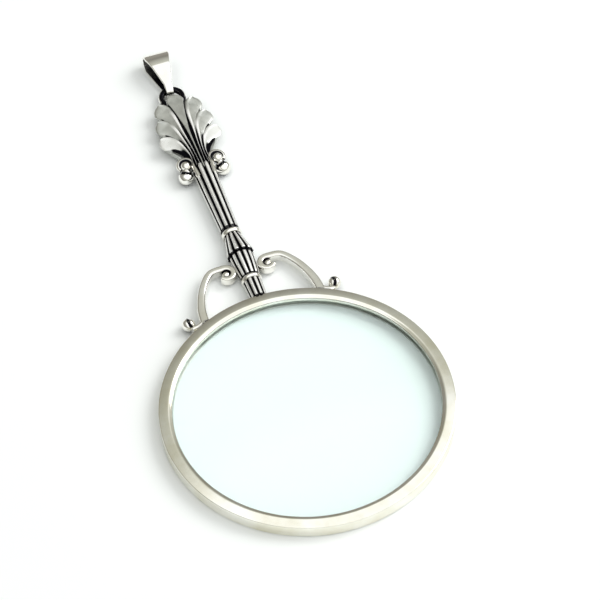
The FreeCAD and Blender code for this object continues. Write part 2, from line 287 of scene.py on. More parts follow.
@dataclass(frozen=True)
class CrownGlass:
    """Ground and polished crown glass with a slight green-blue body colour."""

    name: str = "crown_glass_polished"
    tint: str = "#F7FDFC"
    ior: float = 1.52
    smear_mm: float = 6.0
    smear_roughness: float = 0.025

    def material(self) -> bpy.types.Material:
        """Build the glass, which lets the lamps through to what lies behind it.

        Returns:
            The material.
        """
        made = empty_material(self.name)
        tree = made.node_tree
        place = add_node(tree, "ShaderNodeTexCoord").outputs["Object"]
        # Faint finger smears blur the reflections a little in patches.
        smear = add_node(
            tree, "ShaderNodeTexNoise", {"Vector": place},
            {"Scale": 1 / (self.smear_mm * MM), "Detail": 2.0},
        ).outputs["Fac"]
        rough = add_node(
            tree, "ShaderNodeMapRange", {"Value": smear},
            {"To Min": 0.0, "To Max": self.smear_roughness},
        ).outputs["Result"]
        glass = add_node(
            tree, "ShaderNodeBsdfPrincipled", {"Roughness": rough},
            {"Base Color": linear(self.tint), "IOR": self.ior, "Transmission Weight": 1.0},
        )
        clear = add_node(tree, "ShaderNodeBsdfTransparent", None, {"Color": linear(self.tint)})
        path = add_node(tree, "ShaderNodeLightPath")
        both = add_node(
            tree, "ShaderNodeMixShader",
            {"0": path.outputs["Is Shadow Ray"], "1": glass.outputs[0], "2": clear.outputs[0]},
        )
        add_node(tree, "ShaderNodeOutputMaterial", {"Surface": both.outputs[0]})
        return made


@dataclass(frozen=True)
class StudioCard:
    """Matt white card, the sweep that the piece lies on."""

    name: str = "matt_white_card"
    colour: str = "#F6F8F7"
    tooth_mm: float = 0.8
    tooth_depth_mm: float = 0.02

    def material(self) -> bpy.types.Material:
        """Build the card, chalky and almost without shine.

        Returns:
            The material.
        """
        made = empty_material(self.name)
        tree = made.node_tree
        place = add_node(tree, "ShaderNodeTexCoord").outputs["Object"]
        tooth = add_node(
            tree, "ShaderNodeTexNoise", {"Vector": place},
            {"Scale": 1 / (self.tooth_mm * MM), "Detail": 2.0},
        ).outputs["Fac"]
        bump = add_node(
            tree, "ShaderNodeBump", {"Height": tooth},
            {"Strength": 0.05, "Distance": self.tooth_depth_mm * MM},
        ).outputs["Normal"]
        card = add_node(
            tree, "ShaderNodeBsdfPrincipled", {"Normal": bump},
            {"Base Color": linear(self.colour), "Roughness": 0.9, "Specular IOR Level": 0.1},
        )
        add_node(tree, "ShaderNodeOutputMaterial", {"Surface": card.outputs[0]})
        return made


# Buffed to a mirror: beads, brackets, curls, collars, loop and bail.
MIRROR_SILVER = SilverFinish(
    "sterling_silver_polished", roughness=0.07, roughness_spread=0.03
)
# Oxidised in the grooves, with a painted highlight on the crests. The grain follows the reeds.
REED_SILVER = SilverFinish(
    "sterling_silver_reeds_oxidised", colour="#FDFDFB", worn_colour="#F3F2EE",
    roughness=0.26, roughness_spread=0.08, grain_stretch=(1.0, 0.12, 1.0),
)
# Brushed along the leaf, so that it looks soft grey with a broad sheen.
SATIN_SILVER = SilverFinish(
    "sterling_silver_satin_oxidised", colour="#DEDFDA", worn_colour="#C3C5C0",
    roughness=0.36, roughness_spread=0.1, scratch_mm=0.16, scratch_depth_mm=0.02,
    cloud_mm=1.6, grain_stretch=(1.0, 0.3, 1.0),
)
# Polished but slightly yellowed by air, as the rim is.
TONED_SILVER = SilverFinish(
    "sterling_silver_polished_toned", colour="#FBFAF3", worn_colour="#E8E4D2",
    roughness=0.1, roughness_spread=0.04, cloud_mm=5.0,
)
# Clear, with sharp reflections and a breath of blue-green where the view through it is long.
GLASS = CrownGlass()
# Chalky white that takes soft shadows and shows no shine.
CARD = StudioCard()


# ---------------------------------------------------------------- mesh helpers
def new_mesh(
    name: str,
    shell: Shell,
    look: bpy.types.Material,
    oxide_and_light: Optional[Sequence[float]] = None,
    crisp: float = 40.0,
) -> bpy.types.Object:
    """Make one mesh object from its points and faces.

    Args:
        name: its name.
        shell: corners in metres, in the object's frame, and corner numbers of each face.
        look: its material.
        oxide_and_light: how black each point is with sulphide or painted shade, or below 0 how much
            painted highlight it takes.
        crisp: edges sharper than this, in degrees, stay crisp.

    Returns:
        The new object.
    """
    points, faces = shell
    mesh = bpy.data.meshes.new(name)
    mesh.from_pydata([tuple(p) for p in points], [], [tuple(f) for f in faces])
    mesh.validate()
    layer = mesh.attributes.new(OXIDE_AND_LIGHT, "FLOAT", "POINT")
    if oxide_and_light is not None:
        layer.data.foreach_set("value", list(oxide_and_light))
    mesh.materials.append(look)
    mesh.shade_smooth()
    mesh.set_sharp_from_angle(angle=math.radians(crisp))
    made = bpy.data.objects.new(name, mesh)
    bpy.context.scene.collection.objects.link(made)
    return made


def outward(mesh: bpy.types.Mesh) -> None:
    """Turn all of a closed mesh's faces outward.

    Args:
        mesh: the mesh, changed in place.
    """
    work = bmesh.new()
    work.from_mesh(mesh)
    bmesh.ops.recalc_face_normals(work, faces=work.faces)
    work.to_mesh(mesh)
    work.free()


def add_piece(
    name: str,
    shell: Shell,
    look: bpy.types.Material,
    slot: Slot,
    node: str,
    oxide_and_light: Optional[Sequence[float]] = None,
    crisp: float = 40.0,
    body: str = FIXED_BODY,
) -> None:
    """Make one closed piece that stands for a CAD node.

    Args:
        name: the piece's name.
        shell: its points and faces.
        look: its material.
        slot: the record's material slot; not used.
        node: the CAD node that it replaces.
        oxide_and_light: how black each point is with sulphide or painted shade, or below 0 how much
            painted highlight it takes.
        crisp: edges sharper than this, in degrees, stay crisp.
        body: the body that carries it.
    """
    piece = new_mesh(name, shell, look, oxide_and_light, crisp)
    outward(piece.data)
    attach(piece, body)
    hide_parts(node)
    LOG.info("%s: %d faces", name, len(piece.data.polygons))


def dress_node(node: str, look: bpy.types.Material) -> None:
    """Give a CAD node that stays in view its own material.

    Args:
        node: the node's name.
        look: the material.
    """
    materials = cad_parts[node].data.materials
    materials.clear()
    materials.append(look)


def skin(rings: Sequence[Ring], closed_path: bool = False) -> Shell:
    """Join equal rings of points into one closed surface.

    Args:
        rings: sections in order, all with the same number of points.
        closed_path: whether the last ring joins the first. If not, both ends are capped.

    Returns:
        The points and the faces.
    """
    count = len(rings[0])
    points = [p for ring in rings for p in ring]
    faces: List[List[int]] = []
    for i in range(len(rings) if closed_path else len(rings) - 1):
        a, b = i * count, ((i + 1) % len(rings)) * count
        for j in range(count):
            k = (j + 1) % count
            faces.append([a + j, a + k, b + k, b + j])
    if closed_path:
        return points, faces
    for first, flip in ((0, True), ((len(rings) - 1) * count, False)):
        hub = len(points)
        points.append(sum((points[first + j] for j in range(count)), Vector()) / count)
        for j in range(count):
            face = [first + j, first + (j + 1) % count, hub]
            faces.append(face[::-1] if flip else face)
    return points, faces


def joined(shells: Sequence[Shell]) -> Shell:
    """Put several surfaces into one.

    Args:
        shells: the surfaces.

    Returns:
        All their points and faces.
    """
    points: List[Vector] = []
    faces: List[List[int]] = []
    for more_points, more_faces in shells:
        shift = len(points)
        points += more_points
        faces += [[n + shift for n in face] for face in more_faces]
    return points, faces


def curve_through(points: Sequence[Vector], count: int) -> List[Vector]:
    """Sample a smooth curve through points, with tangents taken from their neighbours.

    Args:
        points: the points to pass through.
        count: samples for each stretch.

    Returns:
        The samples, first and last points included.
    """
    out: List[Vector] = []
    last = len(points) - 1
    for i in range(last):
        start, end = points[i], points[i + 1]
        before, after = points[max(i - 1, 0)], points[min(i + 2, last)]
        for j in range(count):
            t = j / count
            out.append(0.5 * (
                2 * start
                + (end - before) * t
                + (2 * before - 5 * start + 4 * end - after) * t * t
                + (3 * start - before - 3 * end + after) * t ** 3
            ))
    out.append(points[-1].copy())
    return out


def smooth(x: float) -> float:
    """Ease from 0 to 1."""
    x = min(max(x, 0.0), 1.0)
    return x * x * (3 - 2 * x)


def arc(x: float, y: float, radius: float, start: float, end: float, steps: int) -> Outline:
    """Points on an arc.

    Args:
        x: its centre's first coordinate.
        y: its centre's second coordinate.
        radius: its radius.
        start: first angle in degrees.
        end: last angle in degrees.
        steps: how many segments it has.

    Returns:
        The points, both ends included.
    """
    angles = [math.radians(start + (end - start) * i / steps) for i in range(steps + 1)]
    return [(x + radius * math.cos(a), y + radius * math.sin(a)) for a in angles]


def rounded_section(half_x: float, half_y: float, rounding: float, steps: int) -> Outline:
    """A rectangle with rounded corners.

    Args:
        half_x: half of its width.
        half_y: half of its height.
        rounding: corner radius, cut down where the rectangle is too small for it.
        steps: segments in each corner.

    Returns:
        Its outline, counter-clockwise.
    """
    r = min(rounding, half_x * 0.98, half_y * 0.98)
    out: Outline = []
    for corner, (sx, sy) in enumerate(((1, 1), (-1, 1), (-1, -1), (1, -1))):
        start = 90 * corner
        out += arc(sx * (half_x - r), sy * (half_y - r), r, start, start + 90, steps)
    return out


def sweep(path: Sequence[Vector], sections: Sequence[Outline]) -> Shell:
    """Carry sections along a path that is about level.

    Args:
        path: points of the centre line.
        sections: the outline at each point, as (across, up) pairs.

    Returns:
        The points and the faces.
    """
    rings: List[Ring] = []
    for i, (point, outline) in enumerate(zip(path, sections)):
        along = path[min(i + 1, len(path) - 1)] - path[max(i - 1, 0)]
        across = along.cross(UP).normalized()
        lift = across.cross(along).normalized()
        rings.append([point + across * a + lift * b for a, b in outline])
    return skin(rings)


@dataclass(frozen=True)
class Granule:
    """A granulation bead: a drop of silver, not quite round, with painted shade on its lower part.
    """

    around: int = 40
    levels: int = 22
    unevenness: float = 0.035
    lump_rate: float = 1.7
    cut_from: float = 0.3
    cut_to: float = 0.82
    cut_edge: float = 0.16
    cut_depth: float = 0.16
    dark_edge: float = 0.35

    def build(
        self,
        name: str,
        node: str,
        centre: Vector,
        radii: Vector,
        look: bpy.types.Material,
        seed: float,
        shade_below: float,
        crevice: Optional[Vector] = None,
    ) -> None:
        """Build one bead in place of its node.

        Args:
            name: the piece's name.
            node: the CAD node that it replaces.
            centre: its middle.
            radii: its three radii.
            look: its material.
            seed: shifts its unevenness.
            shade_below: the height share under which painted shade darkens it.
            crevice: direction of the part that a cut sets off, darkened with painted shade, if
                there is one.
        """
        rings: List[Ring] = []
        black: List[float] = []
        for i in range(1, self.levels):
            tilt = math.pi * i / self.levels
            ring: Ring = []
            for j in range(self.around):
                turn = 2 * math.pi * j / self.around
                way = Vector((
                    math.sin(tilt) * math.cos(turn), math.sin(tilt) * math.sin(turn), math.cos(tilt)
                ))
                lump = noise.noise(way * self.lump_rate + Vector((seed, 0, 0))) - 0.5
                cut = 0.0
                if crevice is not None:
                    lean = way.dot(crevice)
                    cut = smooth((lean - self.cut_from) / self.cut_edge)
                    cut *= smooth((self.cut_to - lean) / self.cut_edge)
                swell = min(1 + self.unevenness * lump, 1.0) - self.cut_depth * cut
                ring.append(centre + way * radii * swell)
                # Painted shade darkens the lower part and the cut.
                black.append(max(smooth((shade_below - way.z) / self.dark_edge), cut))
            rings.append(ring)
        add_piece(name, skin(rings), look, Slot.POLISHED, node, black + [0.0, 1.0])


BEAD = Granule()


# ---------------------------------------------------------------- lens and rim
@dataclass
class LensAssembly:
    """The plain round rim, the lens in it and the ring that holds the lens from behind."""

    rim_width: float = 1.95 * MM
    edge_round: float = 0.14 * MM
    back_round: float = 0.3 * MM
    crown: float = 0.17 * MM
    crown_place: float = 0.75
    crown_power_out: float = 1.3
    crown_power_in: float = 1.6
    lip: float = 0.8 * MM
    lip_bevel: float = 0.05 * MM
    bore_gap: float = 0.04 * MM
    bore_bevel: float = 0.12 * MM
    rim_unevenness: float = 0.03 * MM
    lens_edge: float = 0.85 * MM
    lens_bevel: float = 0.1 * MM
    lens_rings: int = 24
    keeper_width: float = 0.75 * MM
    keeper_gap: float = 0.02 * MM
    rim_around: int = 288
    lens_around: int = 192

    def turned(self, outline: Outline, unevenness: float) -> Shell:
        """Turn a closed outline about the lens axis.

        Args:
            outline: (radius, height) pairs.
            unevenness: how far the hand-finished surface strays inward, in metres.

        Returns:
            The points and the faces.
        """
        centre_y = middle("rim").y
        rings: List[Ring] = []
        for i in range(self.rim_around):
            turn = 2 * math.pi * i / self.rim_around
            c, s = math.cos(turn), math.sin(turn)
            stray = abs(unevenness * noise.noise(Vector((3 * c, 3 * s, 0.7))))
            rings.append([
                Vector(((r - stray) * c, centre_y + (r - stray) * s, z)) for r, z in outline
            ])
        return skin(rings, closed_path=True)

    def rim_outline(self) -> Outline:
        """Draw the rim's section: a straight outer wall, a crowned face and a lip over the lens.

        Returns:
            The section as (radius, height) pairs.
        """
        outer = half_size("rim").x
        inner = outer - self.rim_width
        top = span("rim")[1].z
        shoulder, lip_z = top - self.crown, top - self.lip
        bore = half_size("lens").x + self.bore_gap
        r, back, peak = self.edge_round, self.back_round, self.crown_place
        out = arc(outer - r, shoulder - r, r, 0, 90, 4)
        for i in range(1, 16):
            u = i / 16
            if u < peak:
                fall = ((peak - u) / peak) ** self.crown_power_out
            else:
                fall = ((u - peak) / (1 - peak)) ** self.crown_power_in
            across = outer - r + (inner - outer + 2 * r) * u
            out.append((across, shoulder + self.crown * (1 - fall)))
        out += arc(inner + r, shoulder - r, r, 90, 180, 4)
        out += [
            (inner, lip_z + self.lip_bevel),
            (inner + self.lip_bevel, lip_z),
            (bore, lip_z),
            (bore, self.bore_bevel),
            (bore + self.bore_bevel, 0.0),
        ]
        return out + arc(outer - back, back, back, -90, 0, 5)

    def lens_rings_and_edge(self) -> List[Ring]:
        """Lay out the lens: a shallow dome, a ground edge and a flat back.

        Returns:
            Its rings, from the middle of the dome to near the middle of the back.
        """
        low, high = span("lens")
        lens_r = half_size("lens").x
        centre_y = middle("lens").y
        rise = high.z - low.z - self.lens_edge
        ball = (lens_r ** 2 + rise ** 2) / (2 * rise)
        quarter = math.pi / 2 / self.lens_rings
        radii = [lens_r * math.sin(quarter * k) for k in range(1, self.lens_rings + 1)]
        outline = [(r, high.z - ball + math.sqrt(ball ** 2 - r ** 2)) for r in radii]
        outline += [(lens_r, low.z + self.lens_bevel), (lens_r - self.lens_bevel, low.z)]
        outline += [(r, low.z) for r in radii[-4::-3]]
        turns = [2 * math.pi * j / self.lens_around for j in range(self.lens_around)]
        return [
            [Vector((r * math.cos(a), centre_y + r * math.sin(a), z)) for a in turns]
            for r, z in outline
        ]

    def keeper_outline(self) -> Outline:
        """Draw the retaining ring's section, bevelled on the side that shows through the lens.

        Returns:
            The section as (radius, height) pairs.
        """
        low, high = span("lens_retaining_ring")
        outer = half_size("lens_retaining_ring").x
        inner = outer - self.keeper_width
        top = high.z - self.keeper_gap
        return [
            (outer, low.z),
            (outer, top),
            (inner, top),
            (inner, top - self.keeper_width / 3),
            (inner + self.keeper_width / 4, low.z + self.lip_bevel),
            (inner + self.keeper_width / 3, low.z),
        ]

    def build(
        self, silver: bpy.types.Material, satin: bpy.types.Material, glass: bpy.types.Material
    ) -> None:
        """Build the rim, the lens and the retaining ring.

        Args:
            silver: the rim's material.
            satin: the retaining ring's material.
            glass: the lens's material.
        """
        rim = self.turned(self.rim_outline(), self.rim_unevenness)
        add_piece("Rim_turned", rim, silver, Slot.POLISHED, "rim", crisp=30)
        lens = skin(self.lens_rings_and_edge())
        add_piece("Lens_plano_convex", lens, glass, Slot.GLASS, "lens", crisp=30)
        keeper = self.turned(self.keeper_outline(), 0.0)
        add_piece(
            "Lens_keeper_ring", keeper, satin, Slot.POLISHED, "lens_retaining_ring", crisp=25
        )


# ---------------------------------------------------------------- handle
@dataclass(frozen=True)
class Reeding:
    """Sizes of one reeded section of the handle.

    The radii are taken over the crests of the reeds, first at the end nearer the lens. The
    reeds of a domed section end in round tops, and those of a blunt one dip in at the near end.
    """

    name: str
    node: str
    near_r: float
    far_r: float
    count: int
    bulge: float = 0.0
    domed: bool = False
    blunt: bool = False
    reed_share: float = 0.93
    reed_bite: float = 1.42

    def reed_r(self, crest: float) -> float:
        """Radius of one reed where the crests lie at a radius of this size."""
        pitch = math.pi / self.count
        return pitch / (1 + pitch) * self.reed_share * crest


FERRULE = Reeding("Ferrule_reeded", "ferrule", 1.28 * MM, 1.42 * MM, 10)
LOWER_BALUSTER = Reeding(
    "Baluster_lower_reeded", "lower_baluster", 1.46 * MM, 1.84 * MM, 12,
    bulge=0.08 * MM, domed=True,
)
UPPER_BALUSTER = Reeding(
    "Baluster_upper_reeded", "upper_baluster", 2.18 * MM, 1.28 * MM, 12, blunt=True
)
SHAFT = Reeding("Shaft_reeded", "shaft", 1.42 * MM, 1.78 * MM, 10)


@dataclass
class ReededStem:
    """The turned and reeded sections of the handle, threaded in a row on the core pin."""

    per_reed: int = 16
    stations: int = 44
    groove_from: float = 0.09
    groove_edge: float = 0.2
    crest_to: float = 0.07
    crest_edge: float = 0.06
    crest_highlight: float = 0.6
    station_power: float = 1.4
    blunt_share: float = 0.08
    blunt_least: float = 0.02
    end_shares: Tuple[float, float] = (0.04, 0.97)
    end_dark: float = 0.55
    dome_gap: float = 0.03 * MM
    dome_steps: int = 8
    dome_angle: float = 88.0
    dome_dark_from: float = 0.45
    collar_steps: int = 14
    collar_around: int = 120
    collar_round: float = 0.95
    collar_dark_from: float = 0.86
    collar_unevenness: float = 0.02 * MM

    def on_stem(self, r: float, turn: float, y: float) -> Vector:
        """A point round the handle's axis, flattened level with the rim's back."""
        return Vector((r * math.sin(turn), y, max(axis_height() + r * math.cos(turn), 0.0)))

    def section(
        self, y: float, crest: float, reed: float, core: float, count: int
    ) -> Tuple[Ring, List[float]]:
        """Lay out one slice across the reeds.

        Args:
            y: place along the handle.
            crest: radius over the reeds.
            reed: radius of one reed.
            core: radius of the bottom of the grooves.
            count: number of reeds.

        Returns:
            The slice's points, and how black each one is, or below 0 how much painted highlight it
            takes.
        """
        ring: Ring = []
        black: List[float] = []
        hub = crest - reed
        total = count * self.per_reed
        for i in range(total):
            off = math.pi / count * (2 * ((i % self.per_reed) / self.per_reed) - 1)
            inside = reed ** 2 - (hub * math.sin(off)) ** 2
            r = hub * math.cos(off) + math.sqrt(inside) if inside > 0 else core
            r = max(r, core)
            lost = (crest - r) / max(crest - core, 1e-9)
            ring.append(self.on_stem(r, 2 * math.pi * i / total, y))
            # The grooves hold sulphide; the crests take a painted highlight.
            groove = smooth((lost - self.groove_from) / self.groove_edge)
            white = smooth((self.crest_to - lost) / self.crest_edge)
            black.append(groove - self.crest_highlight * white)
        return ring, black

    def reeds(self, part: Reeding, silver: bpy.types.Material) -> None:
        """Build one reeded section in place of its node.

        Args:
            part: the section's sizes.
            silver: its material.
        """
        low, high = span(part.node)
        reed_end = part.reed_r(part.far_r)
        y0, y1 = low.y, high.y
        if part.domed:
            y1 = span("upper_baluster")[0].y - self.dome_gap - reed_end
        rings: List[Ring] = []
        black: List[float] = []
        for i in range(self.stations + 1):
            s = (i / self.stations) ** self.station_power
            crest = part.near_r + (part.far_r - part.near_r) * s
            crest += part.bulge * math.sin(math.pi * s)
            reed = part.reed_r(crest)
            core = crest - part.reed_bite * reed
            ease = 1.0
            if part.blunt and s < self.blunt_share:
                ease = math.sqrt(max(1 - (1 - s / self.blunt_share) ** 2, self.blunt_least))
            ring, tone = self.section(
                y0 + (y1 - y0) * s, core + (crest - core) * ease, reed * ease, core, part.count
            )
            # Both ends are dark where they butt on the next section, except under the domes.
            if s < self.end_shares[0] or s > self.end_shares[1] and not part.domed:
                tone = [max(t, self.end_dark) for t in tone]
            rings.append(ring)
            black += tone
        for i in range(1, self.dome_steps + 1) if part.domed else ():
            a = math.radians(self.dome_angle * i / self.dome_steps)
            reed = reed_end * math.cos(a)
            core = part.far_r - part.reed_bite * reed_end
            ring, tone = self.section(
                y1 + reed_end * math.sin(a), part.far_r - reed_end + reed, reed, core, part.count
            )
            rings.append(ring)
            dark = smooth(i / self.dome_steps - self.dome_dark_from)
            black += [max(t, dark) for t in tone]
        add_piece(
            part.name, skin(rings), silver, Slot.OXIDISED, part.node, black + [1.0, 1.0], crisp=60
        )

    def collar(self, name: str, node: str, silver: bpy.types.Material) -> None:
        """Build a rounded collar in place of its node.

        Args:
            name: the piece's name.
            node: the CAD node that it replaces.
            silver: its material.
        """
        radius, half, centre_y = half_size(node).x, half_size(node).y, middle(node).y
        rings: List[Ring] = []
        black: List[float] = []
        for i in range(self.collar_steps + 1):
            a = math.radians(-90 + 180 * i / self.collar_steps)
            r = radius - half * self.collar_round * (1 - math.cos(a))
            ring: Ring = []
            for j in range(self.collar_around):
                turn = 2 * math.pi * j / self.collar_around
                seed = Vector((2 * math.cos(turn), 2 * math.sin(turn), centre_y * 900))
                stray = self.collar_unevenness * abs(noise.noise(seed))
                ring.append(self.on_stem(r - stray, turn, centre_y + half * math.sin(a)))
                edge = abs(math.sin(a)) - self.collar_dark_from
                black.append(smooth(edge / (1 - self.collar_dark_from)))
            rings.append(ring)
        add_piece(name, skin(rings), silver, Slot.POLISHED, node, black + [1.0, 1.0])

    def build(self, reeded: bpy.types.Material, polished: bpy.types.Material) -> None:
        """Build every section from the rim to the leaf.

        Args:
            reeded: the material of the reeded sections.
            polished: the material of the collars and the core pin.
        """
        self.reeds(FERRULE, reeded)
        self.collar("Collar_lower", "lower_collar", polished)
        self.reeds(LOWER_BALUSTER, reeded)
        self.reeds(UPPER_BALUSTER, reeded)
        self.collar("Collar_upper", "upper_collar", polished)
        self.reeds(SHAFT, reeded)
        dress_node("core_pin", polished)


# ---------------------------------------------------------------- scroll brackets
@dataclass
class ScrollBracket:
    """A strip bent into a scroll that braces the handle against the rim."""

    side: Side
    foot_angle: float = 25.0
    foot_depth: float = 0.35 * MM
    foot_width: float = 1.4 * MM
    crest_width: float = 1.02 * MM
    tail_width: float = 0.72 * MM
    taper_share: float = 0.45
    thickness: float = 1.4 * MM
    haunch: Tuple[float, float] = (0.3 * MM, 0.34)
    shoulder: Tuple[float, float] = (1.5 * MM, 0.7)
    crest_start: Tuple[float, float] = (3.3 * MM, 0.35 * MM)
    crest_end: float = 0.5 * MM
    scroll_start: float = 80.0
    scroll_turn: float = 245.0
    scroll_tightening: float = 0.22
    tongue_reach: float = 6.2
    tongue_out: float = 0.44 * MM
    tongue_lift: float = 0.3 * MM
    tongue_half: float = 0.5 * MM
    eye_bead: float = 0.627 * MM
    eye_offset: Point = (0.02 * MM, -0.04 * MM, 0.1 * MM)
    foot_cut: Point = (-0.82, -0.1, 0.56)
    strip_samples: int = 14
    scroll_samples: int = 40
    tongue_samples: int = 18
    foot_dark: float = 0.35 * MM
    scroll_dark: float = 0.16 * MM
    scroll_dark_share: float = 0.2

    def centre_line(self, eye: Vector, crest_y: float) -> List[Vector]:
        """Trace the right strip's middle from the rim over the crest and round its scroll.

        Args:
            eye: the scroll's centre.
            crest_y: the line's farthest place along the handle.

        Returns:
            The points.
        """
        rim_r, foot = half_size("rim").x, math.radians(self.foot_angle)
        foot_y = middle("rim").y + (rim_r - self.foot_depth) * math.cos(foot)
        start = Vector((rim_r * math.sin(foot), foot_y, eye.z))
        rise = crest_y - foot_y
        line = curve_through([
            start,
            start + Vector((-self.haunch[0], self.haunch[1] * rise, 0)),
            start + Vector((-self.shoulder[0], self.shoulder[1] * rise, 0)),
            Vector((start.x - self.crest_start[0], crest_y - self.crest_start[1], eye.z)),
            Vector((eye.x + self.crest_end, crest_y, eye.z)),
        ], self.strip_samples)
        for i in range(1, self.scroll_samples + 1):
            share = i / self.scroll_samples
            turn = math.radians(self.scroll_start + self.scroll_turn * share)
            r = (crest_y - eye.y) * (1 - self.scroll_tightening * share)
            line.append(eye + Vector((math.cos(turn), math.sin(turn), 0)) * r)
        return line

    def strip_section(self, share: float) -> Outline:
        """Draw the strip's section, widest at the foot and narrowest at the scroll's end.

        Args:
            share: share of the way from the foot.

        Returns:
            The outline.
        """
        narrowing = smooth(share / self.taper_share)
        ending = smooth(1 - (1 - share) / self.taper_share)
        width = self.foot_width + (self.crest_width - self.foot_width) * narrowing
        width += (self.tail_width - self.crest_width) * ending
        return rounded_section(width / 2, self.thickness / 2, width / 4, 5)

    def tongue(self) -> Shell:
        """Build the strip's foot, spread along the rim and lifted under its bead.

        Returns:
            The points and the faces.
        """
        path: List[Vector] = []
        sections: List[Outline] = []
        for i in range(self.tongue_samples + 1):
            share = i / self.tongue_samples
            turn = math.radians(self.foot_angle - 1.0 + self.tongue_reach * share)
            r = half_size("rim").x + self.tongue_out + self.tongue_lift * smooth(2 * share - 1)
            y = middle("rim").y + r * math.cos(turn)
            path.append(self.side.flip(Vector((r * math.sin(turn), y, axis_height()))))
            half = self.tongue_half * (1 - 0.3 * share)
            thick = self.thickness / 2 * (1 - 0.12 * share)
            sections.append(rounded_section(half, thick, half * 0.8, 4))
        return sweep(path, sections)

    def build(self, silver: bpy.types.Material) -> None:
        """Build the strip with its foot tongue, and its two beads.

        Args:
            silver: the material of all three.
        """
        word, flip = self.side.word, self.side.flip
        eye = middle("bracket_scroll_bead_right")
        eye.z = axis_height()
        crest_y = span("scroll_bracket_right")[1].y - self.crest_width / 2
        path = [flip(p) for p in self.centre_line(eye, crest_y)]
        sections = [self.strip_section(i / (len(path) - 1)) for i in range(len(path))]
        strip = joined([sweep(path, sections), self.tongue()])
        # Dark where the strip meets the rim, and painted shade on the inside of the scroll.
        rim, rim_r = middle("rim"), half_size("rim").x
        inner = crest_y - eye.y - self.tail_width * self.scroll_dark_share
        black: List[float] = []
        for p in strip[0]:
            from_rim = math.hypot(p.x, p.y - rim.y) - rim_r
            from_eye = (p - flip(eye)).length
            black.append(max(
                smooth(1 - from_rim / self.foot_dark), smooth((inner - from_eye) / self.scroll_dark)
            ))
        add_piece(
            "Bracket_%s_strip" % word, strip, silver, Slot.POLISHED, "scroll_bracket_" + word,
            black, crisp=50,
        )
        BEAD.build(
            "Bracket_%s_eye_bead" % word, "bracket_scroll_bead_" + word,
            flip(eye + Vector(self.eye_offset)), Vector([self.eye_bead] * 3), silver,
            3.1 * self.side.value, 0.12,
        )
        foot = "bracket_foot_bead_right"
        BEAD.build(
            "Bracket_%s_foot_bead" % word, "bracket_foot_bead_" + word,
            flip(middle(foot)), half_size(foot), silver,
            5.7 * self.side.value, -0.3, flip(Vector(self.foot_cut)).normalized(),
        )


# ---------------------------------------------------------------- leaf
@dataclass(frozen=True)
class Lobe:
    """One lobe of the leaf: its rank from the middle outwards, round tip and height share."""

    rank: int
    tip: Vector
    tip_r: float
    height: float


